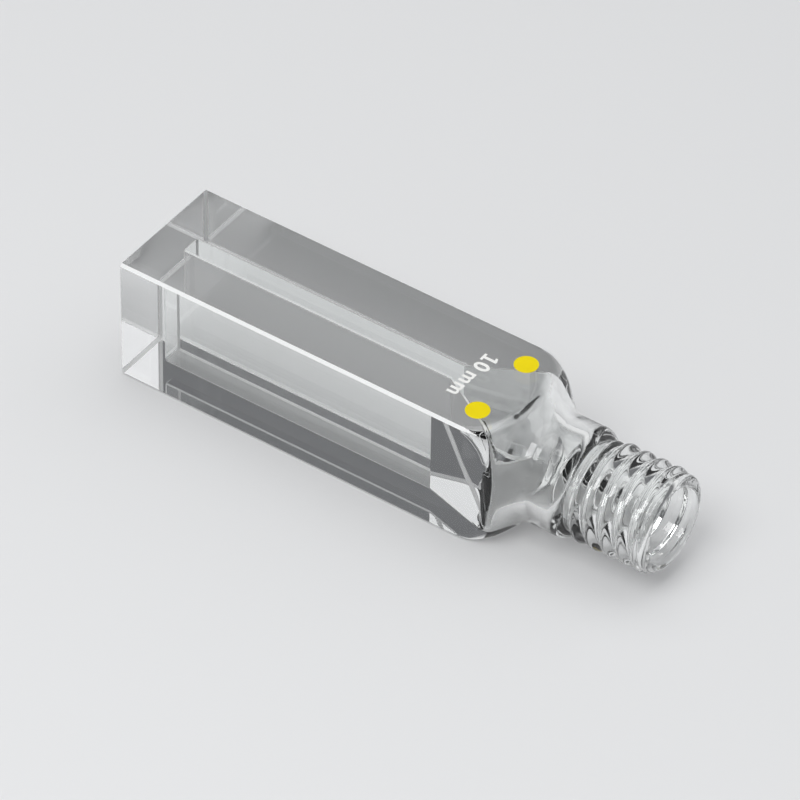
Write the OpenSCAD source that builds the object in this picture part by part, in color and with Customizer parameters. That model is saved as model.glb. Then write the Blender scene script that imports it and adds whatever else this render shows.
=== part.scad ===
// Micro screw-neck cuvette, one piece of clear glass, lying on one polished window.
// Millimetres. +X runs from the closed base to the mouth and +Z is up.
// The origin is the middle of the resting face: half way along the cuvette, at z = 0.

/* [Body] */
// width across flats, the same both ways
body_w = 12.5; // [12:0.1:14]
// height of the straight-sided body, from the base to where its long edges start to round off
body_h = 35.9; // [32:0.1:60]
// leg of the ground bevel along the long edges and round the base
edge_bevel = 0.25; // [0.05:0.05:0.5]

/* [Chamber] */
// light path between the two windows
path_l = 10; // [9:0.1:10.5]
// width of the sample slot between the two thick side blocks
slot_w = 2; // [1:0.1:4]
// thickness of the glass under the sample
base_t = 3; // [1:0.1:9]
// height of the slot, from its floor to the foot of the funnel
slot_h = 28; // [10:0.5:28]
// height over which the side blocks slope away from the slot
funnel_h = 5.5; // [3:0.1:6]

/* [Shoulder] */
// radius of the fire-polished turn from the body into the shoulder
shoulder_r = 4; // [3:0.1:5]
// slope of the rounding where it leaves the long edges, in degrees from the axis
shoulder_start = 8; // [4:1:14]
// slope of the shoulder's cone, in degrees from the axis
shoulder_slope = 55; // [50:1:62]
// radius of the hollow turn from the shoulder into the neck
throat_r = 2.1; // [1:0.1:3]

/* [Neck] */
// diameter of the plain neck above the shoulder
neck_d = 10.1; // [9.8:0.1:10.8]
// bore of the neck
bore_d = 6.8; // [6:0.1:7.4]
// length of the plain neck, with its rounded end
neck_h = 3.7; // [2.5:0.1:8]
// radius of the plain neck's rounded end
neck_round = 1; // [0.6:0.1:1.4]
// major diameter of the thread
thread_d = 9.44; // [9.1:0.02:9.7]
// length of the threaded stretch
thread_h = 7.6; // [4:0.1:14]

/* [Lip] */
// diameter of the smooth lip past the thread
lip_d = 8.96; // [8.6:0.02:9.2]
// length of the smooth lip
lip_h = 0.65; // [0.5:0.05:2]
// radius of the lip's outer edge
lip_round = 0.45; // [0.1:0.05:0.45]
// radius of the flare at the mouth of the bore
mouth_round = 0.35; // [0.1:0.05:0.4]

/* [Show] */
// piece to build

/* [Hidden] */
$fn = 96;
glass = [0.86, 0.93, 0.95, 0.45];
over = 1;

half_w = body_w / 2;
neck_r = neck_d / 2;
thread_r = thread_d / 2;
lip_r = lip_d / 2;
bore_r = bore_d / 2;
neck_wall = neck_r - bore_r;
lip_wall = lip_r - bore_r;
lip_turn = min(lip_round, 0.45 * lip_wall);
mouth_turn = min(mouth_round, 0.45 * lip_wall);

// turn of the shoulder: it starts on the bevelled long edge
corner_r = (body_w - edge_bevel) / sqrt(2);
turn_r = corner_r - shoulder_r * cos(shoulder_start);
turn_x = body_h - shoulder_r * sin(shoulder_start);

// turn of the throat: a circle that touches both the cone and the neck
throat_cr = neck_r + throat_r;
throat_x = turn_x
    + (shoulder_r + throat_r - (throat_cr - turn_r) * cos(shoulder_slope)) / sin(shoulder_slope);

slot_top = base_t + slot_h;
funnel_top = slot_top + funnel_h;
neck_top = throat_x + neck_h;
thread_top = neck_top + thread_h;
overall_l = thread_top + lip_h;

// Point at `angle` on a circle of radius r whose centre is c; x is the radius, y the height.
function on_turn(c, r, angle) = [c[0] + r * cos(angle), c[1] + r * sin(angle)];

// Half outline of the shoulder and neck, moved inwards by `wall`: radius across, height up.
// A disc rounds the turn into the cone, and a second disc hollows out the throat.
module shoulder_outline(wall, top) {
    turn_c = [turn_r, turn_x];
    throat_c = [throat_cr, throat_x];
    tube_r = neck_r - wall;
    leave = on_turn(turn_c, shoulder_r - wall, shoulder_start);
    difference() {
        union() {
            polygon([
                [0, 0],
                [leave[0] + leave[1] * tan(shoulder_start), 0],
                leave,
                on_turn(turn_c, shoulder_r - wall, shoulder_slope),
                on_turn(throat_c, -(throat_r + wall), shoulder_slope),
                throat_c,
                [tube_r, throat_x],
                [tube_r, top],
                [0, top]
            ]);
            translate(turn_c)
                circle(r = shoulder_r - wall);
        }
        translate(throat_c)
            circle(r = throat_r + wall);
    }
}

// Half outline of the plain neck's rounded end, the thread's envelope and the lip.
module neck_outline() {
    thread_end = thread_top - (thread_r - lip_r);
    translate([neck_r - neck_round, neck_top - neck_round])
        circle(r = neck_round);
    square([thread_r, thread_end]);
    polygon([
        [0, thread_end],
        [thread_r, thread_end],
        [lip_r, thread_top],
        [0, thread_top]
    ]);
    square([lip_r, overall_l - lip_turn]);
    square([lip_r - lip_turn, overall_l]);
    translate([lip_r - lip_turn, overall_l - lip_turn])
        circle(r = lip_turn);
}

// Turns the half of an outline that lies on the +X side about the cuvette's long axis.
module turned() {
    rotate([0, 90, 0])
        rotate_extrude()
            intersection() {
                children();
                translate([0, -body_w])
                    square([2 * body_w, overall_l + 2 * body_w]);
            }
}

// Long outline of the body with both base corners bevelled.
module base_bevelled(length) {
    polygon([
        [0, edge_bevel - half_w],
        [edge_bevel, -half_w],
        [length, -half_w],
        [length, half_w],
        [edge_bevel, half_w],
        [0, half_w - edge_bevel]
    ]);
}

// Square bar with bevelled long edges, bevelled all round its base.
module bar(length) {
    flat = half_w - edge_bevel;
    intersection() {
        rotate([90, 0, 90])
            linear_extrude(length)
                polygon([
                    [flat, -half_w], [half_w, -flat],
                    [half_w, flat], [flat, half_w],
                    [-flat, half_w], [-half_w, flat],
                    [-half_w, -flat], [-flat, -half_w]
                ]);
        translate([0, 0, -half_w - over])
            linear_extrude(body_w + 2 * over)
                base_bevelled(length);
        rotate([90, 0, 0])
            translate([0, 0, -half_w - over])
                linear_extrude(body_w + 2 * over)
                    base_bevelled(length);
    }
}

// Square body that turns into a round shoulder and neck.
module outside() {
    intersection() {
        bar(overall_l + over);
        turned() {
            shoulder_outline(0, neck_top - neck_round);
            neck_outline();
        }
    }
}

// Slot for the sample, across the whole light path.
module slot_space() {
    translate([base_t, -slot_w / 2, -path_l / 2])
        cube([slot_h + over, slot_w, path_l]);
}

// Funnel above the slot: sloping block tops, then a square hollow that closes to the bore.
module funnel_space() {
    intersection() {
        translate([0, 0, -path_l / 2])
            linear_extrude(path_l)
                polygon([
                    [slot_top, -slot_w / 2],
                    [funnel_top, -path_l / 2],
                    [throat_x, -path_l / 2],
                    [throat_x, path_l / 2],
                    [funnel_top, path_l / 2],
                    [slot_top, slot_w / 2]
                ]);
        turned()
            shoulder_outline(neck_wall, throat_x + over);
    }
}

// Bore of the neck with its flared mouth.
module bore_space() {
    turned() {
        translate([0, throat_x - over])
            square([bore_r, overall_l - throat_x + 2 * over]);
        difference() {
            translate([0, overall_l - mouth_turn])
                square([bore_r + mouth_turn, mouth_turn + over]);
            translate([bore_r + mouth_turn, overall_l - mouth_turn])
                circle(r = mouth_turn);
        }
    }
}

module cuvette() {
    color(glass)
        translate([-overall_l / 2, 0, half_w])
            difference() {
                outside();
                slot_space();
                funnel_space();
                bore_space();
            }
}

cuvette();
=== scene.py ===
"""Looks of a screw-neck micro cuvette: clear glass, ground edge bevels and two fired enamel prints."""

import math
from collections import namedtuple

import bmesh
import bpy
from mathutils import Matrix, Vector


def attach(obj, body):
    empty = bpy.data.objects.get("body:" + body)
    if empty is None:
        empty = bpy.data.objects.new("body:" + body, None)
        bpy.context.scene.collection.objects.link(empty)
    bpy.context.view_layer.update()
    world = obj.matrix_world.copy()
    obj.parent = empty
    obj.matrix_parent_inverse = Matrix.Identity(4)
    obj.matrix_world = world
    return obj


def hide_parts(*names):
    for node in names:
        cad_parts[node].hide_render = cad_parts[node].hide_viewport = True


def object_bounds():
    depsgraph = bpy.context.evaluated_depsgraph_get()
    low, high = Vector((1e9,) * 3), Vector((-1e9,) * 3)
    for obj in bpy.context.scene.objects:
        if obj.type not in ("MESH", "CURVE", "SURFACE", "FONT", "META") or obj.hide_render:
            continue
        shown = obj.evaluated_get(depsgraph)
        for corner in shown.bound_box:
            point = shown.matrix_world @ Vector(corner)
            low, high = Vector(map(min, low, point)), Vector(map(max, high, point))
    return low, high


bl_info = {
    "name": "Screw-neck cuvette",
    "version": (1, 0, 0),
    "blender": (4, 5, 0),
    "location": "3D View > Sidebar > Cuvette",
    "description": "Makes the glass, enamel prints and stage of a screw-neck micro cuvette",
    "category": "Add Mesh",
}

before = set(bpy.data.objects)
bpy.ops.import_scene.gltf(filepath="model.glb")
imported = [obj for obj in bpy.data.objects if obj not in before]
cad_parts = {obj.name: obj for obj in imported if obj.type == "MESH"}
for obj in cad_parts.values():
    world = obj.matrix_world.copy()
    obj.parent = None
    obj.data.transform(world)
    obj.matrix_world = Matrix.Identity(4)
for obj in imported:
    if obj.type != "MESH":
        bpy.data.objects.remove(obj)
CAD_LOW, CAD_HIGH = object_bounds()
CAD_SIZE = CAD_HIGH - CAD_LOW
MM = 0.001

# How finely the glass skin is divided: points along each side of a ring, steps in each arc, and
# distances between rings.
SIDE_STEPS = 55
ARC_STEPS = 10
NECK_END_STEPS = 14
SHOULDER_STEP = 0.15 * MM
NECK_STEP = 0.25 * MM
THREAD_STEP = 0.065 * MM
LIP_STEP = 0.06 * MM
BORE_STEP = 0.6 * MM

# Below the shoulder's first turn its outline goes on widening until it clears the square's corners:
# by the slope times the depth, and by the flare times the depth squared, in millimetres.
EDGE_SLOPE = 0.14
EDGE_FLARE = 0.45

# Edges bent by less than this are shaded smooth. Melted edges always are, from a little below the
# shoulder on the outside and from a little below the funnel's top on the inside.
CREASE = math.radians(30)
OUTSIDE_LEAD = 0.2 * MM
INSIDE_LEAD = 1.5 * MM

# Each dot's points round its rim, and its softened top edge: the edge's height, and the top's size
# against the dot's.
DOT_STEPS = 96
DOT_EDGE = 0.002 * MM
DOT_TOP = 0.985

# The font's numeral one is a bare bar, with this many points.
BAR_POINTS = 8


def length(name, description, default_mm, low_mm=0.0, high_mm=200.0):
    """A length property, given in millimetres and kept in metres."""
    return bpy.props.FloatProperty(
        name=name,
        description=description,
        default=default_mm * MM,
        min=low_mm * MM,
        max=high_mm * MM,
        precision=5,
        unit="LENGTH",
        subtype="DISTANCE",
    )


def bearing(name, description, default_degrees, low_degrees=-180.0, high_degrees=180.0):
    """An angle property, given in degrees and kept in radians."""
    return bpy.props.FloatProperty(
        name=name,
        description=description,
        default=math.radians(default_degrees),
        min=math.radians(low_degrees),
        max=math.radians(high_degrees),
        unit="ROTATION",
        subtype="ANGLE",
    )


def colour(name, description, default):
    """A colour property."""
    return bpy.props.FloatVectorProperty(
        name=name, description=description, default=default, size=3, min=0.0, max=1.0, subtype="COLOR"
    )


def factor(name, description, default, low=0.0, high=1.0):
    """A plain number between two limits."""
    return bpy.props.FloatProperty(
        name=name, description=description, default=default, min=low, max=high
    )


# ---------------------------------------------------------------- sizes and colours


class CuvetteBody(bpy.types.PropertyGroup):
    """Square body, slot, funnel and shoulder."""

    width: length("Width", "Width across flats, the same both ways", CAD_SIZE.y / MM)
    overall: length("Length", "Length from the base to the mouth", CAD_SIZE.x / MM)
    straight: length("Straight height", "Height at which the long edges start to round off", 35.9)
    bevel: length("Edge bevel", "Leg of the ground bevel", 0.25)
    bevel_run: length("Bevel run-out", "Length over which the ground bevel narrows on the shoulder", 1.1)
    bevel_left: factor("Bevel left", "Share of the bevel's leg that stays past its run-out", 0.3)
    drawn_in: length("Drawn in", "How far the sides are drawn in, so that the prints stand proud", 0.003)
    seam: length("Seam", "Leg of the fine bevels along the slot's inner edges", 0.16)
    base: length("Base", "Glass under the sample", 3.0)
    slot: length("Slot width", "Width of the sample slot", 2.0)
    path: length("Light path", "Inside height between the windows", 10.0)
    slot_height: length("Slot height", "Height of the parallel slot", 28.0)
    funnel: length("Funnel height", "Height over which the side blocks slope away", 6.9)
    funnel_corner: length("Funnel corner", "Width over which the funnel's corners are rounded", 0.3)
    turn: length("Shoulder turn", "Radius of the shoulder's first turn", 4.0)
    turn_start: bearing("Shoulder start", "Slope from the axis at which that turn starts", 8.0, 0.0, 40.0)
    throat: length("Throat turn", "Radius of the hollow turn into the neck", 2.1)
    slope: bearing("Shoulder slope", "Slope of the shoulder's cone from the axis", 55.0, 40.0, 70.0)
    lead: length("Shoulder lead", "Length below the straight height that the shoulder shapes", 1.5)
    melt_start: length("First blend", "Width of the blend where the flats first meet the shoulder", 0.25)
    melt: length("Melted edge", "Width over which the flats blend into the shoulder", 1.2)
    melt_run: length("Blend run", "Length over which the blend grows to its full width", 3.0)
    wall_lead: length("Wall lead", "Length above the straight height before the wall thickens", 1.5)


class CuvetteNeck(bpy.types.PropertyGroup):
    """Plain neck, thread and lip."""

    diameter: length("Neck diameter", "Diameter of the plain neck", 10.1)
    bore: length("Bore", "Bore of the neck", 6.8)
    collar: length("Neck length", "Length of the plain neck with its rounded end", 3.7)
    round_end: length("Neck end", "Radius of the plain neck's rounded end", 1.0)
    root: length("Thread root", "Diameter at the root of the thread", 8.35)
    crest_round: factor("Crests", "1 for round crests with sharp roots, 2 for an even wave", 1.0, 1.0, 4.0)
    crest: length("Thread crest", "Diameter over the crests of the thread", 9.44)
    pitch: length("Pitch", "Axial distance between crests", 1.57)
    crest_at: length("Crest position", "Distance from the base to a crest at the crest angle", 46.74)
    crest_angle: bearing("Crest angle", "Angle round the axis at which that crest lies", 42.6)
    first: length("Thread start", "Distance from the base to the thread's start", 45.0)
    last: length("Thread end", "Distance from the base to the thread's end", 52.75)
    run_in: length("Run-in", "Length over which the thread grows beside the neck", 0.9)
    run_out: length("Run-out", "Length over which the thread fades beside the lip", 0.55)
    lip: length("Lip", "Diameter of the smooth lip", 8.96)
    lip_length: length("Lip length", "Length of the smooth lip", 0.65)
    lip_rise: length("Lip rise", "Length over which the thread's root widens to the lip", 0.5)
    lip_turn: length("Lip edge", "Radius of the lip's outer edge", 0.45)
    mouth_turn: length("Mouth flare", "Radius of the flare at the mouth", 0.35)


class CuvetteFinish(bpy.types.PropertyGroup):
    """Tint of the glass and the waves that the flame left in it."""

    tint: colour("Tint", "Colour of the polished glass", (0.985, 0.995, 0.99))
    ground: colour("Ground tint", "Colour of the ground bevels", (0.97, 0.98, 0.98))
    index: factor("Index", "Refractive index of the glass", 1.52, 1.0, 2.5)
    waves_from: length("Waves from", "Distance from the base to where the waves start", 35.3)
    waves_full: length("Waves full", "Distance from the base to where they are fully grown", 39.0)
    calm_from: length("Calm from", "Distance from the base to where they start to fade", 43.0)
    calm_full: length("Calm full", "Distance from the base to where they have faded", 45.0)
    calm: factor("Calm", "Share of the waves that is left on the thread", 0.25)
    waves_per_metre: factor("Waves", "How many waves there are to a metre", 420.0, 10.0, 5000.0)
    wave_height: length("Wave height", "Height of the waves at full strength", 0.15)
    wave_strength: factor("Wave strength", "How strongly the waves bend the light", 0.3)


class CuvettePrint(bpy.types.PropertyGroup):
    """Enamel prints on the upper window."""

    dot_size: length("Dot diameter", "Diameter of each dot", 2.15)
    dot_from_base: length("Dot position", "Distance from the base to the dots", 35.55)
    dot_gap: length("Dot spacing", "Distance between the dots' centres", 7.12)
    mark: bpy.props.StringProperty(
        name="Mark", description="Path length printed on the window", default="10 mm"
    )
    mark_from_base: length("Mark position", "Distance from the base to the mark's middle", 32.7)
    mark_offset: length("Mark offset", "How far that lies from the centre plane, to the near side", 0.2)
    mark_height: length("Mark height", "Height of the path mark's figures", 1.5)
    mark_weight: factor("Mark weight", "How far the strokes are thickened, in font sizes", 0.024)
    mark_spacing: factor("Mark spacing", "Spacing of the figures against the font's own", 1.14, 0.5, 3.0)
    mark_gap: factor("Mark gap", "Width of the gap between words against the font's own", 0.45)
    thickness: length("Film", "Thickness of the enamel, most of it fused into the glass", 0.03)
    index: factor("Index", "Refractive index of the enamel, for how much it mirrors", 1.3, 1.0, 2.5)
    yellow: colour("Yellow", "Colour of the dots", (0.85, 0.685, 0.003))
    white: colour("White", "Colour of the path mark", (0.9, 0.9, 0.88))


class CuvetteStage(bpy.types.PropertyGroup):
    """Floor, surroundings, lamps and camera."""

    floor: colour("Floor", "Colour of the floor", (0.78, 0.785, 0.79))
    backdrop: colour("Backdrop", "Colour of the surroundings near the horizon", (0.8, 0.805, 0.81))
    room: colour("Room", "Colour of the surroundings above the backdrop", (0.13, 0.133, 0.14))
    glow: colour("Glow", "Colour of the soft light behind the mouth", (0.7, 0.7, 0.71))
    overhead: factor("Overhead", "Brightness of the large soft box overhead", 1.5, 0.0, 20.0)
    front: factor("Front", "Brightness of the smaller soft box in front", 6.5, 0.0, 20.0)
    azimuth: bearing("Azimuth", "Where the camera stands, as an angle from the mouth's side", -55.0)
    elevation: bearing("Elevation", "How steeply the camera looks down", 41.71, 0.0, 89.0)
    roll: bearing("Roll", "How far the camera is turned about its own line of sight", 0.7)
    distance: length("Distance", "Distance from the camera to where it looks", 624.7, 100.0, 5000.0)
    aim_x: length("Aim along", "How far it looks from the middle, to the mouth", -0.95, -50.0, 50.0)
    aim_y: length("Aim across", "How far it looks from the middle, to the far side", -0.6, -50.0, 50.0)
    lens: factor("Lens", "Focal length of the camera in millimetres", 331.72, 10.0, 1000.0)


# ---------------------------------------------------------------- glass skin

# One ring of the skin: what it belongs to, its height above the base, and its (y, z) points round
# the axis.
Ring = namedtuple("Ring", "kind height points")


def clamp(value, low=0.0, high=1.0):
    """A value kept between two limits."""
    return min(max(value, low), high)


def soft_min(a, b, width):
    """The smaller of two lengths, rounded where they are within `width` of each other."""
    near = max(width - abs(a - b), 0.0) / width
    return min(a, b) - near * near * width / 4


def spread(low, high, step):
    """Heights from low to high, both included, about one step apart."""
    n = max(1, round((high - low) / step))
    return [low + (high - low) * i / n for i in range(n + 1)]


def arc(full, steps):
    """Angles from 0 to full, both included."""
    return [full * i / steps for i in range(steps + 1)]


def turn_centres(body, neck):
    """Centres of the shoulder's two turns, as (radius, height) in metres."""
    corner = (body.width - body.bevel) / math.sqrt(2)
    start = body.turn_start
    shoulder = (corner - body.turn * math.cos(start), body.straight - body.turn * math.sin(start))
    throat_r = neck.diameter / 2 + body.throat
    reach = body.turn + body.throat - (throat_r - shoulder[0]) * math.cos(body.slope)
    return shoulder, (throat_r, shoulder[1] + reach / math.sin(body.slope))


def shoulder_radius(body, neck, inset, x):
    """Radius of the shoulder's turned outline at height x, moved inwards by inset."""
    shoulder, throat = turn_centres(body, neck)
    outer, hollow = body.turn - inset, body.throat + inset
    start = shoulder[1] + outer * math.sin(body.turn_start)
    cone_low = shoulder[1] + outer * math.sin(body.slope)
    cone_high = throat[1] - hollow * math.sin(body.slope)
    if x < start:
        short = (start - x) / MM
        edge = shoulder[0] + outer * math.cos(body.turn_start)
        return edge + (EDGE_SLOPE * short + EDGE_FLARE * short * short) * MM
    if x < cone_low:
        return shoulder[0] + math.sqrt(max(outer**2 - (x - shoulder[1]) ** 2, 0.0))
    if x < cone_high:
        return shoulder[0] + outer * math.cos(body.slope) - (x - cone_low) * math.tan(body.slope)
    if x < throat[1]:
        return throat[0] - math.sqrt(max(hollow**2 - (throat[1] - x) ** 2, 0.0))
    return neck.diameter / 2 - inset


def side_angles(corner):
    """Angles of one side's points, evenly spread between its two corners."""
    return [-corner + 2 * corner * i / SIDE_STEPS for i in range(SIDE_STEPS + 1)]


def outside_ring(body, kind, x, radius=None, melt=None, scale=1.0):
    """One ring of the outside: a bevelled square, limited by a circle where it has a radius."""
    half = (body.width / 2 - body.drawn_in) * scale
    left = clamp(1.0 - (x - body.straight) / body.bevel_run, body.bevel_left)
    corner = math.atan((body.width / 2 - body.bevel * left) / (body.width / 2))
    melt = body.melt if melt is None else melt
    points = []
    for side in range(4):
        for turned in side_angles(corner):
            reach = half / math.cos(turned)
            if radius is not None:
                reach = soft_min(reach, radius, melt)
            around = turned + side * math.pi / 2
            points.append((reach * math.cos(around), reach * math.sin(around)))
    return Ring(kind, x, points)


def inside_ring(body, kind, x, half_y, half_z, radius=None, melt=None):
    """One ring of the hollow: a cut-cornered rectangle, limited by a circle where it has a radius."""
    corner = math.atan((body.width / 2 - body.bevel) / (body.width / 2))
    melt = body.melt if melt is None else melt
    points = []
    for side in range(4):
        for turned in side_angles(corner):
            along = math.tan(turned) / math.tan(corner)
            short_y, short_z = along * (half_y - body.seam), along * (half_z - body.seam)
            y, z = [(half_y, short_z), (-short_y, half_z), (-half_y, -short_z), (short_y, -half_z)][side]
            if radius is not None:
                reach = math.hypot(y, z)
                kept = soft_min(reach, radius, melt) / reach
                y, z = y * kept, z * kept
            points.append((y, z))
    return Ring(kind, x, points)


def body_rings(body):
    """The base inside its bevel, and the start of the straight body."""
    base_scale = (body.width / 2 - body.bevel) / (body.width / 2)
    return [
        outside_ring(body, "base", 0.0, scale=base_scale),
        outside_ring(body, "body", body.bevel),
    ]


def shoulder_rings(body, neck, throat_x):
    """The square melting into the round shoulder, up to the neck."""
    rings = []
    for x in spread(body.straight - body.lead, throat_x, SHOULDER_STEP):
        grown = clamp((x - body.straight) / body.melt_run)
        blend = body.melt_start + (body.melt - body.melt_start) * grown
        rings.append(outside_ring(body, "shoulder", x, shoulder_radius(body, neck, 0.0, x), blend))
    return rings


def neck_rings(body, neck, throat_x):
    """The plain neck and its rounded end, as far as the thread's root."""
    top = throat_x + neck.collar
    radius, turn = neck.diameter / 2, neck.round_end
    rings = [outside_ring(body, "neck", x, radius) for x in spread(throat_x, top - turn, NECK_STEP)[1:]]
    foot = math.acos(min(1.0, (neck.root / 2 - radius + turn) / turn))
    for a in arc(foot, NECK_END_STEPS)[1:]:
        x = top - turn * (1 - math.sin(a))
        rings.append(outside_ring(body, "neck", x, radius - turn * (1 - math.cos(a))))
    return rings


def thread_rings(body, neck, low):
    """The thread's root from height low, and the smooth lip. The thread is raised on the root later."""
    root, lip = neck.root / 2, neck.lip / 2
    lip_low = body.overall - neck.lip_length
    rings = []
    for x in spread(low, lip_low, THREAD_STEP)[1:]:
        rise = clamp((x - lip_low + neck.lip_rise) / neck.lip_rise)
        rings.append(outside_ring(body, "thread", x, root + (lip - root) * rise * rise * (3 - 2 * rise)))
    for x in spread(lip_low, body.overall - neck.lip_turn, LIP_STEP)[1:]:
        rings.append(outside_ring(body, "thread", x, lip))
    return rings


def mouth_rings(body, neck):
    """The lip's rounded outer edge and the flare of the mouth."""
    rings = []
    for a in arc(math.pi / 2, ARC_STEPS)[1:]:
        x = body.overall - neck.lip_turn * (1 - math.sin(a))
        rings.append(outside_ring(body, "lip", x, neck.lip / 2 - neck.lip_turn * (1 - math.cos(a))))
    square = body.path / 2
    for a in arc(math.pi / 2, ARC_STEPS):
        x = body.overall - neck.mouth_turn * (1 - math.cos(a))
        radius = neck.bore / 2 + neck.mouth_turn * (1 - math.sin(a))
        rings.append(inside_ring(body, "mouth", x, square, square, radius))
    return rings


def funnel_rings(body, neck, throat_x):
    """The hollow from the neck down its two slopes to the top of the slot."""
    square = body.path / 2
    slot_top = body.base + body.slot_height
    slope = (square - body.slot / 2) / body.funnel
    side_wall, neck_wall = body.width / 2 - square, (neck.diameter - neck.bore) / 2
    thicker_from = body.straight + body.wall_lead
    rings = []
    for x in reversed(spread(slot_top, throat_x, SHOULDER_STEP)[:-1]):
        half_y = soft_min(body.slot / 2 + (x - slot_top) * slope, square, body.funnel_corner)
        half_y = max(half_y, body.slot / 2)
        grown = clamp((x - thicker_from) / (throat_x - thicker_from))
        radius = shoulder_radius(body, neck, side_wall + (neck_wall - side_wall) * grown, x)
        rings.append(inside_ring(body, "funnel", x, half_y, square, radius, body.funnel_corner))
    rings[-1] = rings[-1]._replace(kind="slot")
    return rings


def hollow_rings(body, neck, throat_x):
    """The bore, the funnel, the slot and its floor, from the mouth down."""
    square, half = body.path / 2, body.slot / 2
    rings = []
    for x in reversed(spread(throat_x, body.overall - neck.mouth_turn, BORE_STEP)[:-1]):
        rings.append(inside_ring(body, "bore", x, square, square, neck.bore / 2))
    rings += funnel_rings(body, neck, throat_x)
    rings.append(inside_ring(body, "floor", body.base + body.seam, half, square))
    rings.append(inside_ring(body, "floor", body.base, half - body.seam, square - body.seam))
    return rings


def skin_rings(body, neck):
    """All rings from the base, up the outside, over the lip and down the hollow to the slot's floor."""
    throat_x = turn_centres(body, neck)[1][1]
    rings = body_rings(body) + shoulder_rings(body, neck, throat_x) + neck_rings(body, neck, throat_x)
    rings += thread_rings(body, neck, rings[-1].height)
    return rings + mouth_rings(body, neck) + hollow_rings(body, neck, throat_x)


def is_ground(body, ring, at_corner):
    """Whether a face above a ring is ground: the two ends, and the bevels up to their run-out."""
    bevelled = ring.kind in ("body", "slot") or ring.height < body.straight + body.bevel_run
    return ring.kind in ("base", "floor") or (at_corner and bevelled)


def side_faces(bm, low, high):
    """Makes the faces between two closed rows of points, in order round them."""
    corners = zip(low, low[1:] + low[:1], high[1:] + high[:1], high)
    return [bm.faces.new(face) for face in corners]


def mesh_from(bm, name):
    """Puts a finished bmesh into a new mesh."""
    mesh = bpy.data.meshes.new(name)
    bm.to_mesh(mesh)
    bm.free()
    return mesh


def join_rings(bm, body, rings, rows, ground):
    """Faces between each ring and the next, and over both ends, with the ground ones marked."""
    bevels = {side * (SIDE_STEPS + 1) + SIDE_STEPS for side in range(4)}
    for ring, here, above in zip(rings, rows, rows[1:]):
        for j, face in enumerate(side_faces(bm, here, above)):
            face[ground] = int(is_ground(body, ring, j in bevels))
    bm.faces.new(list(reversed(rows[0])))
    bm.faces.new(rows[-1])
    bm.normal_update()
    bmesh.ops.recalc_face_normals(bm, faces=bm.faces[:])


def shade_skin(bm, body, inner):
    """Smooth shading, with sharp edges where flat faces meet below the melted stretches."""
    outside_soft = CAD_LOW.x + body.straight - OUTSIDE_LEAD
    inside_soft = CAD_LOW.x + body.base + body.slot_height + body.funnel - INSIDE_LEAD
    for edge in bm.edges:
        limit = inside_soft if edge.verts[0].index in inner else outside_soft
        melted = min(v.co.x for v in edge.verts) > limit
        edge.smooth = melted or edge.calc_face_angle(0.0) < CREASE
    for face in bm.faces:
        face.smooth = True


def skin_mesh(body, neck):
    """Closed mesh of the whole glass, with its thread zone and ground faces marked."""
    rings = skin_rings(body, neck)
    axis_z = CAD_LOW.z + body.width / 2
    bm = bmesh.new()
    zone = bm.verts.layers.float.new("thread_zone")
    ground = bm.faces.layers.int.new("ground")
    rows = []
    for ring in rings:
        row = [bm.verts.new((CAD_LOW.x + ring.height, y, axis_z + z)) for y, z in ring.points]
        for v in row:
            v[zone] = float(ring.kind in ("neck", "thread"))
        rows.append(row)
    join_rings(bm, body, rings, rows, ground)
    bm.verts.index_update()
    first_inner = next(i for i, ring in enumerate(rings) if ring.kind == "mouth")
    shade_skin(bm, body, {v.index for row in rows[first_inner:] for v in row})
    return mesh_from(bm, "cuvette_glass")


# ---------------------------------------------------------------- node helpers


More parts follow.
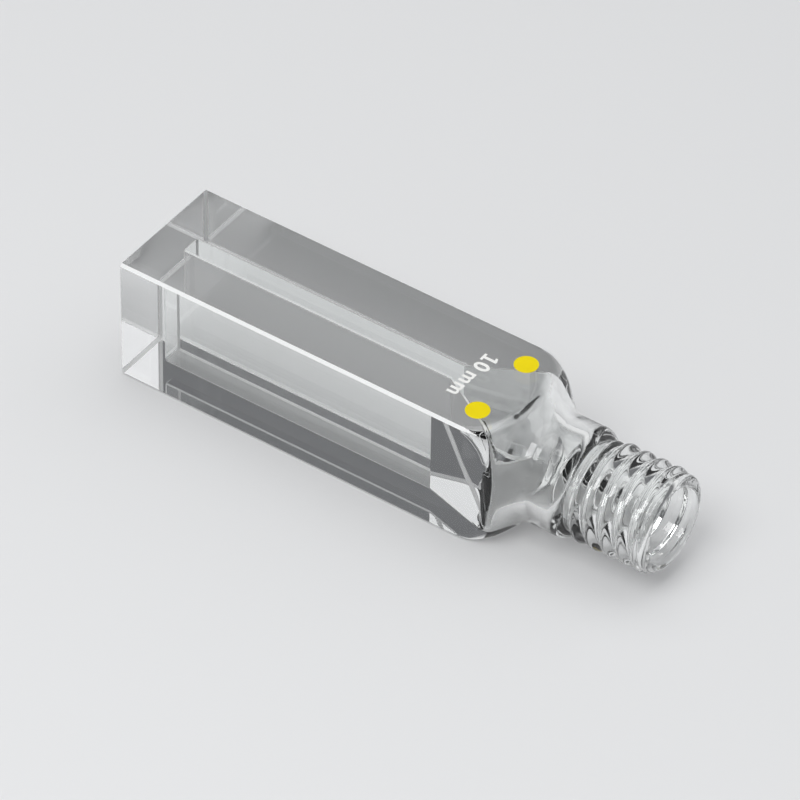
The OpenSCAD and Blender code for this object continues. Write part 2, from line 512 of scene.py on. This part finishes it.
class Tree:
    """Short calls for adding and joining nodes in one tree."""

    def __init__(self, tree):
        self.tree = tree

    def sockets(self, in_out, kind, *names):
        """Adds sockets of one kind to the tree's own inputs or outputs."""
        for name in names:
            self.tree.interface.new_socket(name, in_out=in_out, socket_type="NodeSocket" + kind)

    def add(self, kind, inputs=None, **settings):
        """Adds a node, sets its settings, and joins or sets its inputs."""
        node = self.tree.nodes.new(kind)
        for key, value in settings.items():
            setattr(node, key, value)
        for key, value in (inputs or {}).items():
            self.put(node.inputs[key], value)
        return node

    def put(self, socket, value):
        """Joins an output to a socket, or sets the socket's own value."""
        if isinstance(value, bpy.types.NodeSocket):
            self.tree.links.new(value, socket)
        else:
            socket.default_value = value

    def maths(self, operation, a, b=0.0, c=0.0):
        """One step of arithmetic, as its output socket."""
        return self.add("ShaderNodeMath", {0: a, 1: b, 2: c}, operation=operation).outputs[0]

    def between(self, value, low, high):
        """Goes evenly from low to high as the value goes from 0 to 1."""
        return self.maths("MULTIPLY_ADD", value, high - low, low)

    def vectors(self, operation, a, b=(0.0, 0.0, 0.0)):
        """One step of vector arithmetic, as its node's output sockets."""
        return self.add("ShaderNodeVectorMath", {0: a, 1: b}, operation=operation).outputs

    def scaled(self, vector, by):
        """A vector or colour times a number, as its output socket."""
        return self.add("ShaderNodeVectorMath", {0: vector, "Scale": by}, operation="SCALE").outputs[0]

    def ramp(self, value, low, high, at_low=0.0, at_high=1.0):
        """A smooth step: at_low where the value is low, at_high where it is high."""
        return self.add(
            "ShaderNodeMapRange",
            {"Value": value, "From Min": low, "From Max": high, "To Min": at_low, "To Max": at_high},
            interpolation_type="SMOOTHSTEP",
        ).outputs[0]

    def attribute(self, name, kind):
        """A named attribute of the mesh, as an output socket of a geometry tree."""
        return self.add("GeometryNodeInputNamedAttribute", {"Name": name}, data_type=kind).outputs[0]

    def object_place(self):
        """The point's place in the object's own space, as an output socket."""
        return self.add("ShaderNodeTexCoord").outputs["Object"]

    def noise(self, place, scale, detail):
        """A cloudy noise from 0 to 1, as its output socket."""
        inputs = {"Vector": place, "Scale": scale, "Detail": detail}
        return self.add("ShaderNodeTexNoise", inputs).outputs[0]


def screw_thread_tree():
    """Geometry nodes that raise a one-start right-hand thread and give the skin its glass."""
    tree = bpy.data.node_groups.new("screw_thread", "GeometryNodeTree")
    t = Tree(tree)
    t.sockets("INPUT", "Geometry", "Geometry")
    t.sockets("INPUT", "Float", "Pitch", "Root", "Ridge", "Roundness", "Crest X", "Crest Angle")
    t.sockets("INPUT", "Float", "First X", "Last X", "Run-in", "Run-out", "Axis Z")
    t.sockets("INPUT", "Material", "Polished", "Ground")
    t.sockets("OUTPUT", "Geometry", "Geometry")
    given = t.add("NodeGroupInput").outputs
    place = t.add("ShaderNodeSeparateXYZ", {0: t.add("GeometryNodeInputPosition").outputs[0]}).outputs
    up = t.maths("SUBTRACT", place["Z"], given["Axis Z"])
    spoke = t.add("ShaderNodeCombineXYZ", {"Y": place["Y"], "Z": up}).outputs[0]

    # A wave that turns once round the axis for each pitch along it.
    around = t.maths("ARCTAN2", up, place["Y"])
    turns = t.maths("DIVIDE", t.maths("SUBTRACT", place["X"], given["Crest X"]), given["Pitch"])
    phase = t.maths("SUBTRACT", t.maths("MULTIPLY", turns, 2 * math.pi), around)
    phase = t.maths("ADD", phase, given["Crest Angle"])
    half_wave = t.maths("COSINE", t.maths("MULTIPLY", phase, 0.5))
    wave = t.maths("POWER", t.maths("ABSOLUTE", half_wave), given["Roundness"])

    # The thread grows beside the neck and fades beside the lip.
    grow = t.ramp(place["X"], given["First X"], t.maths("ADD", given["First X"], given["Run-in"]))
    fade = t.ramp(place["X"], given["Last X"], t.maths("SUBTRACT", given["Last X"], given["Run-out"]))
    crest = t.maths("MULTIPLY", wave, given["Ridge"])
    crest = t.maths("MULTIPLY", crest, t.maths("MULTIPLY", grow, fade))

    # Points in the thread's zone move outwards to it, where they aren't already further out.
    zone = t.attribute("thread_zone", "FLOAT")
    away = t.vectors("LENGTH", spoke)["Value"]
    rise = t.maths("SUBTRACT", t.maths("ADD", given["Root"], crest), away)
    rise = t.maths("MULTIPLY", t.maths("MAXIMUM", rise, 0.0), zone)
    offset = t.scaled(t.vectors("NORMALIZE", spoke)[0], rise)
    moved = t.add("GeometryNodeSetPosition", {"Geometry": given["Geometry"], "Offset": offset})

    # Ground glass goes on the marked faces, after the polished glass.
    polished = t.add("GeometryNodeSetMaterial", {0: moved.outputs[0], "Material": given["Polished"]})
    marked = t.attribute("ground", "INT")
    real = t.add("GeometryNodeRealizeInstances", {0: polished.outputs[0]})
    ground = {0: real.outputs[0], "Selection": marked, "Material": given["Ground"]}
    t.add("NodeGroupOutput", {0: t.add("GeometryNodeSetMaterial", ground).outputs[0]})
    return tree


def evaluated_mesh(obj):
    """A plain mesh of an object as it is after its modifiers, or of a text's outlines."""
    depsgraph = bpy.context.evaluated_depsgraph_get()
    return bpy.data.meshes.new_from_object(obj.evaluated_get(depsgraph), depsgraph=depsgraph)


def with_tree(obj, tree, values):
    """Runs a geometry tree on an object and keeps the result as its plain mesh."""
    modifier = obj.modifiers.new(tree.name, "NODES")
    modifier.node_group = tree
    for item in tree.interface.items_tree:
        if item.item_type == "SOCKET" and item.in_out == "INPUT" and item.name in values:
            modifier[item.identifier] = values[item.name]
    obj.update_tag()
    mesh = evaluated_mesh(obj)
    obj.modifiers.remove(modifier)
    old = obj.data
    obj.data = mesh
    mesh.name = obj.name
    bpy.data.meshes.remove(old)


def put_in_scene(data, name):
    """Adds a mesh, text, lamp or camera to the scene as an object at the origin."""
    obj = bpy.data.objects.new(name, data)
    bpy.context.scene.collection.objects.link(obj)
    return obj


# ---------------------------------------------------------------- materials


def new_material(name):
    """An empty node material, its tree helper and its Principled shader."""
    material = bpy.data.materials.new(name)
    material.use_nodes = True
    material.node_tree.nodes.clear()
    t = Tree(material.node_tree)
    shader = t.add("ShaderNodeBsdfPrincipled")
    t.add("ShaderNodeOutputMaterial", {"Surface": shader.outputs[0]})
    return material, t, shader


def set_glass(t, shader, tint, index, transmission):
    """The plain values of a glass shader."""
    t.put(shader.inputs["Base Color"], (*tint, 1.0))
    t.put(shader.inputs["IOR"], index)
    t.put(shader.inputs["Transmission Weight"], transmission)


def let_light_through(t, shader, head_on, grazing):
    """Lets lamps and the room light what is under the glass, dimmer where they meet it at a slant."""
    facing = t.add("ShaderNodeLayerWeight", {"Blend": 0.35}).outputs["Facing"]
    share = t.between(facing, head_on, grazing)
    tint = t.add("ShaderNodeCombineXYZ", {0: share, 1: share, 2: share}).outputs[0]
    clear = t.add("ShaderNodeBsdfTransparent", {"Color": tint}).outputs[0]
    path = t.add("ShaderNodeLightPath").outputs
    mix = shader.outputs[0]
    for ray in ("Is Shadow Ray", "Is Diffuse Ray"):
        mix = t.add("ShaderNodeMixShader", {0: path[ray], 1: mix, 2: clear}).outputs[0]
    end = next(node for node in t.tree.nodes if node.type == "OUTPUT_MATERIAL")
    t.put(end.inputs["Surface"], mix)


def speckle_group():
    """Fine specks and cloudy patches in object space, for ground glass and fired enamel."""
    tree = bpy.data.node_groups.get("speckle")
    if tree:
        return tree
    tree = bpy.data.node_groups.new("speckle", "ShaderNodeTree")
    t = Tree(tree)
    t.sockets("INPUT", "Float", "Grain per mm", "Patch per mm")
    t.sockets("OUTPUT", "Float", "Grain", "Patch")
    given = t.add("NodeGroupInput").outputs
    place = t.object_place()
    out = {}
    for name, detail in (("Grain", 3.0), ("Patch", 2.0)):
        scale = t.maths("MULTIPLY", given[name + " per mm"], 1 / MM)
        out[name] = t.noise(place, scale, detail)
    t.add("NodeGroupOutput", out)
    return tree


def speckle(t, grain_per_mm, patch_per_mm):
    """The speckle group's outputs, at one material's own sizes."""
    sizes = {"Grain per mm": grain_per_mm, "Patch per mm": patch_per_mm}
    return t.add("ShaderNodeGroup", sizes, node_tree=speckle_group()).outputs


def bumpy(t, shader, height, strength, distance):
    """Gives a shader a bump that rises by the distance as the height goes from 0 to 1."""
    bump = t.add("ShaderNodeBump", {"Height": height, "Strength": strength, "Distance": distance})
    t.put(shader.inputs["Normal"], bump.outputs[0])


def polished_glass(finish):
    """Clear optical glass: flat windows, and slight fire-polished waves in the shoulder and neck."""
    material, t, shader = new_material("polished_glass")
    place = t.object_place()
    x = t.add("ShaderNodeSeparateXYZ", {0: place}).outputs["X"]
    grown = t.ramp(x, CAD_LOW.x + finish.waves_from, CAD_LOW.x + finish.waves_full)
    left = t.ramp(x, CAD_LOW.x + finish.calm_full, CAD_LOW.x + finish.calm_from, finish.calm)
    waves = t.noise(place, finish.waves_per_metre, detail=1.0)
    height = t.maths("MULTIPLY", t.maths("MULTIPLY", waves, grown), left)
    bumpy(t, shader, height, finish.wave_strength, finish.wave_height)
    set_glass(t, shader, finish.tint, finish.index, transmission=1.0)
    t.put(shader.inputs["Roughness"], 0.0)
    let_light_through(t, shader, head_on=0.82, grazing=0.35)
    return material


def ground_glass(finish):
    """Finely ground bevel: a pale, matt, scattering surface."""
    material, t, shader = new_material("ground_glass")
    grain = speckle(t, grain_per_mm=14.0, patch_per_mm=1.2)["Grain"]
    t.put(shader.inputs["Roughness"], t.between(grain, 0.32, 0.57))
    bumpy(t, shader, grain, strength=0.4, distance=0.02 * MM)
    set_glass(t, shader, finish.ground, finish.index, transmission=0.15)
    let_light_through(t, shader, head_on=0.7, grazing=0.4)
    return material


def enamel(name, look, tint, smoothest, roughest):
    """Fired enamel with a slightly uneven, satin surface."""
    material, t, shader = new_material(name)
    speck = speckle(t, grain_per_mm=9.0, patch_per_mm=0.9)
    shade = t.between(speck["Patch"], 0.9, 1.06)
    t.put(shader.inputs["Base Color"], t.scaled(tuple(tint), shade))
    t.put(shader.inputs["Roughness"], t.between(speck["Grain"], smoothest, roughest))
    t.put(shader.inputs["IOR"], look.index)
    bumpy(t, shader, speck["Grain"], strength=0.15, distance=0.01 * MM)
    return material


# ---------------------------------------------------------------- enamel prints


def close_prism(bm, rows):
    """Side faces between rows of points, one above the other, and a face over each end."""
    for low, high in zip(rows, rows[1:]):
        side_faces(bm, low, high)
    bm.faces.new(rows[-1])
    bm.faces.new(list(reversed(rows[0])))


def dots_mesh(look):
    """The two dots, each a closed film with a softened top edge."""
    top, radius = CAD_HIGH.z, look.dot_size / 2
    bm = bmesh.new()
    for side in (-1, 1):
        cx, cy = CAD_LOW.x + look.dot_from_base, side * look.dot_gap / 2
        rows = []
        for r, z in ((radius, top - look.thickness), (radius, top - DOT_EDGE), (radius * DOT_TOP, top)):
            turns = (2 * math.pi * i / DOT_STEPS for i in range(DOT_STEPS))
            rows.append([bm.verts.new((cx + r * math.cos(a), cy + r * math.sin(a), z)) for a in turns])
        close_prism(bm, rows)
    bmesh.ops.recalc_face_normals(bm, faces=bm.faces[:])
    return mesh_from(bm, "dots")


def islands(bm):
    """The mesh's separate pieces, each as a list of its points."""
    seen = set()
    found = []
    for first in bm.verts:
        if first in seen:
            continue
        seen.add(first)
        island = [first]
        for v in island:  # the list grows while it is walked
            fresh = [e.other_vert(v) for e in v.link_edges if e.other_vert(v) not in seen]
            seen.update(fresh)
            island += fresh
        found.append(island)
    return found


def footed_one(x0, x1, y0, y1):
    """Outline of a numeral one with a flag and a foot, round an upright from (x0, y0) to (x1, y1)."""
    pen, tall = x1 - x0, y1 - y0
    left, right = x0 - 0.19 * tall, x1 + 0.19 * tall
    foot = y0 + 0.8 * pen
    flag_root, flag_top, flag_tip = y1 - 0.19 * tall, y1 - 0.11 * tall, y1 - 0.26 * tall
    outline = [(left, y0), (right, y0), (right, foot), (x1, foot), (x1, y1), (x0 + 0.25 * pen, y1)]
    return outline + [(left, flag_top), (left, flag_tip), (x0, flag_root), (x0, foot), (left, foot)]


def give_ones_a_foot(mesh):
    """Swaps each bare bar, the font's numeral one, for a numeral with a flag and a foot."""
    bm = bmesh.new()
    bm.from_mesh(mesh)
    bmesh.ops.remove_doubles(bm, verts=bm.verts[:], dist=1e-6)
    for bar in [island for island in islands(bm) if len(island) == BAR_POINTS]:
        (x0, x1), (y0, y1), (z0, z1) = (
            (min(v.co[i] for v in bar), max(v.co[i] for v in bar)) for i in range(3)
        )
        bmesh.ops.delete(bm, geom=list(bar), context="VERTS")
        outline = footed_one(x0, x1, y0, y1)
        close_prism(bm, [[bm.verts.new((x, y, z)) for x, y in outline] for z in (z0, z1)])
    bmesh.ops.recalc_face_normals(bm, faces=bm.faces[:])
    bm.to_mesh(mesh)
    bm.free()


def written_mark(look):
    """The path mark as a flat mesh, at the font's own size and place."""
    curve = bpy.data.curves.new("path_mark", "FONT")
    curve.body = look.mark
    curve.align_x = "CENTER"
    curve.align_y = "CENTER"
    curve.size = 1.0
    curve.offset = look.mark_weight
    curve.space_character = look.mark_spacing
    curve.space_word = look.mark_gap
    curve.extrude = look.thickness / 2
    curve.resolution_u = 6
    text = put_in_scene(curve, "path_mark_text")
    mesh = evaluated_mesh(text)
    bpy.data.objects.remove(text)
    bpy.data.curves.remove(curve)
    mesh.materials.clear()
    give_ones_a_foot(mesh)
    return mesh


def lay_mark(mesh, look):
    """Sizes the mark and lays it in the upper window, to be read from the base end."""
    low = [min(v.co[i] for v in mesh.vertices) for i in range(3)]
    high = [max(v.co[i] for v in mesh.vertices) for i in range(3)]
    middle = [(low[i] + high[i]) / 2 for i in range(3)]
    size = look.mark_height / (high[1] - low[1])
    for v in mesh.vertices:
        across, tall, deep = (v.co[i] - middle[i] for i in range(3))
        v.co = (
            CAD_LOW.x + look.mark_from_base + tall * size,
            -look.mark_offset - across * size,
            CAD_HIGH.z - look.thickness / 2 + deep,
        )
    mesh.update()


# ---------------------------------------------------------------- stage

# Half the floor's side, the places and sides of the two soft boxes, and where both aim, in metres.
FLOOR_HALF = 0.5
OVERHEAD_AT, OVERHEAD_SIDE = Vector((-0.05, 0.05, 0.5)), 0.42
FRONT_AT, FRONT_SIDE = Vector((0.0, -0.3, 0.5)), 0.3
LAMP_AIM = Vector((0.0, 0.0, 0.006))

# The surroundings change from the backdrop to the room between these sines of the elevation.
BACKDROP_TOP, ROOM_FROM = 0.2, 0.42

# The glow behind the mouth: its direction, and the cosines from it at which it starts and is full.
GLOW_TOWARD = Vector((0.43, 0.61, 0.67))
GLOW_EDGE, GLOW_FULL = 0.82, 0.975


def aimed(place, target, roll=0.0):
    """Places a lamp or camera so that it looks at a target, turned about its line of sight."""
    level = (target - place).to_track_quat("-Z", "Y").to_matrix().to_4x4()
    return Matrix.Translation(place) @ level @ Matrix.Rotation(roll, 4, "Z")


# ---------------------------------------------------------------- operators


class CUVETTE_OT_glass(bpy.types.Operator):
    """Make the glass: square body, slot, funnel, shoulder, neck, thread and lip in one closed skin"""

    bl_idname = "cuvette.glass"
    bl_label = "Glass"

    def execute(self, context):
        scene = context.scene
        body, neck, finish = scene.cuvette_body, scene.cuvette_neck, scene.cuvette_finish
        obj = put_in_scene(skin_mesh(body, neck), "cuvette_glass")
        values = {
            "Pitch": neck.pitch,
            "Root": neck.root / 2,
            "Ridge": (neck.crest - neck.root) / 2,
            "Roundness": neck.crest_round,
            "Crest X": CAD_LOW.x + neck.crest_at,
            "Crest Angle": neck.crest_angle,
            "First X": CAD_LOW.x + neck.first,
            "Last X": CAD_LOW.x + neck.last,
            "Run-in": neck.run_in,
            "Run-out": neck.run_out,
            "Axis Z": CAD_LOW.z + body.width / 2,
            "Polished": polished_glass(finish),
            "Ground": ground_glass(finish),
        }
        with_tree(obj, screw_thread_tree(), values)
        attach(obj, "root")
        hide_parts("cuvette")
        return {"FINISHED"}


class CUVETTE_OT_dots(bpy.types.Operator):
    """Print the two enamel dots at the neck end of the upper window"""

    bl_idname = "cuvette.dots"
    bl_label = "Dots"

    def execute(self, context):
        look = context.scene.cuvette_print
        obj = put_in_scene(dots_mesh(look), "dots")
        obj.data.materials.append(
            enamel("yellow_enamel", look, look.yellow, smoothest=0.3, roughest=0.5)
        )
        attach(obj, "root")
        return {"FINISHED"}


class CUVETTE_OT_path_mark(bpy.types.Operator):
    """Print the path length across the upper window"""

    bl_idname = "cuvette.path_mark"
    bl_label = "Path mark"

    def execute(self, context):
        look = context.scene.cuvette_print
        mesh = written_mark(look)
        lay_mark(mesh, look)
        obj = put_in_scene(mesh, "path_mark")
        mesh.materials.append(enamel("white_enamel", look, look.white, smoothest=0.35, roughest=0.55))
        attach(obj, "root")
        return {"FINISHED"}


class CUVETTE_OT_stage(bpy.types.Operator):
    """Lay the pale floor, hang the soft lamps and place the camera"""

    bl_idname = "cuvette.stage"
    bl_label = "Stage"

    def execute(self, context):
        look = context.scene.cuvette_stage
        self.floor(look)
        self.surroundings(context.scene, look)
        self.lamps(look)
        self.camera(context.scene, look)
        context.scene.view_settings.view_transform = "Standard"
        return {"FINISHED"}

    def floor(self, look):
        """A wide pale sheet just under the glass."""
        bm = bmesh.new()
        bmesh.ops.create_grid(bm, x_segments=8, y_segments=8, size=FLOOR_HALF)
        mesh = mesh_from(bm, "floor")
        material, t, shader = new_material("pale_floor")
        t.put(shader.inputs["Base Color"], (*look.floor, 1.0))
        grain = t.noise(t.object_place(), scale=900.0, detail=2.0)
        t.put(shader.inputs["Roughness"], t.between(grain, 0.55, 0.65))
        mesh.materials.append(material)
        put_in_scene(mesh, "floor")

    def surroundings(self, scene, look):
        """A pale backdrop all round, a darker room above it and a soft glow behind the mouth."""
        world = bpy.data.worlds.new("studio")
        scene.world = world
        world.use_nodes = True
        world.node_tree.nodes.clear()
        t = Tree(world.node_tree)
        aim = t.add("ShaderNodeTexCoord").outputs["Generated"]
        up = t.add("ShaderNodeSeparateXYZ", {0: aim}).outputs["Z"]
        wall = t.add("ShaderNodeValToRGB", {0: up})
        backdrop, room = wall.color_ramp.elements
        backdrop.position, backdrop.color = BACKDROP_TOP, (*look.backdrop, 1.0)
        room.position, room.color = ROOM_FROM, (*look.room, 1.0)
        near = t.vectors("DOT_PRODUCT", aim, tuple(GLOW_TOWARD.normalized()))["Value"]
        glow = t.scaled(tuple(look.glow), t.ramp(near, GLOW_EDGE, GLOW_FULL))
        both = t.vectors("ADD", wall.outputs["Color"], glow)[0]
        light = t.add("ShaderNodeBackground", {"Color": both, "Strength": 1.0})
        t.add("ShaderNodeOutputWorld", {"Surface": light.outputs[0]})

    def lamps(self, look):
        """A large soft box overhead and a smaller one in front, both aimed at the glass."""
        for name, place, side, radiance in (
            ("overhead", OVERHEAD_AT, OVERHEAD_SIDE, look.overhead),
            ("front", FRONT_AT, FRONT_SIDE, look.front),
        ):
            data = bpy.data.lights.new(name, "AREA")
            data.shape = "SQUARE"
            data.size = side
            data.energy = radiance * math.pi * side * side
            put_in_scene(data, name).matrix_world = aimed(place, LAMP_AIM)

    def camera(self, scene, look):
        """A long lens from above and in front, on the mouth side."""
        data = bpy.data.cameras.new("camera")
        data.sensor_width = 36.0
        data.lens = look.lens
        data.clip_start, data.clip_end = 0.05, 20.0
        aim = Vector((look.aim_x, look.aim_y, (CAD_LOW.z + CAD_HIGH.z) / 2))
        level = math.cos(look.elevation)
        back = Vector(
            (level * math.cos(look.azimuth), level * math.sin(look.azimuth), math.sin(look.elevation))
        )
        obj = put_in_scene(data, "camera")
        obj.matrix_world = aimed(aim + back * look.distance, aim, look.roll)
        scene.camera = obj


class CUVETTE_PT_panel(bpy.types.Panel):
    """Lists the cuvette's pieces and its stage"""

    bl_label = "Cuvette"
    bl_idname = "CUVETTE_PT_panel"
    bl_space_type = "VIEW_3D"
    bl_region_type = "UI"
    bl_category = "Cuvette"

    def draw(self, context):
        for group, operators in (
            ("cuvette_body", ()),
            ("cuvette_neck", ()),
            ("cuvette_finish", ("cuvette.glass",)),
            ("cuvette_print", ("cuvette.dots", "cuvette.path_mark")),
            ("cuvette_stage", ("cuvette.stage",)),
        ):
            box = self.layout.box()
            values = getattr(context.scene, group)
            for name in values.bl_rna.properties.keys():
                if name not in ("rna_type", "name"):
                    box.prop(values, name)
            for operator in operators:
                box.operator(operator)


GROUPS = {
    "cuvette_body": CuvetteBody,
    "cuvette_neck": CuvetteNeck,
    "cuvette_finish": CuvetteFinish,
    "cuvette_print": CuvettePrint,
    "cuvette_stage": CuvetteStage,
}
CLASSES = (
    *GROUPS.values(),
    CUVETTE_OT_glass,
    CUVETTE_OT_dots,
    CUVETTE_OT_path_mark,
    CUVETTE_OT_stage,
    CUVETTE_PT_panel,
)


def register():
    """Registers the classes and hangs the property groups on the scene."""
    for cls in CLASSES:
        bpy.utils.register_class(cls)
    for name, group in GROUPS.items():
        setattr(bpy.types.Scene, name, bpy.props.PointerProperty(type=group))


def unregister():
    """Takes the property groups and the classes away again."""
    for name in GROUPS:
        delattr(bpy.types.Scene, name)
    for cls in reversed(CLASSES):
        bpy.utils.unregister_class(cls)


def main():
    register()
    for operator in (
        bpy.ops.cuvette.glass,
        bpy.ops.cuvette.dots,
        bpy.ops.cuvette.path_mark,
        bpy.ops.cuvette.stage,
    ):
        operator()


if __name__ == "__main__":
    main()
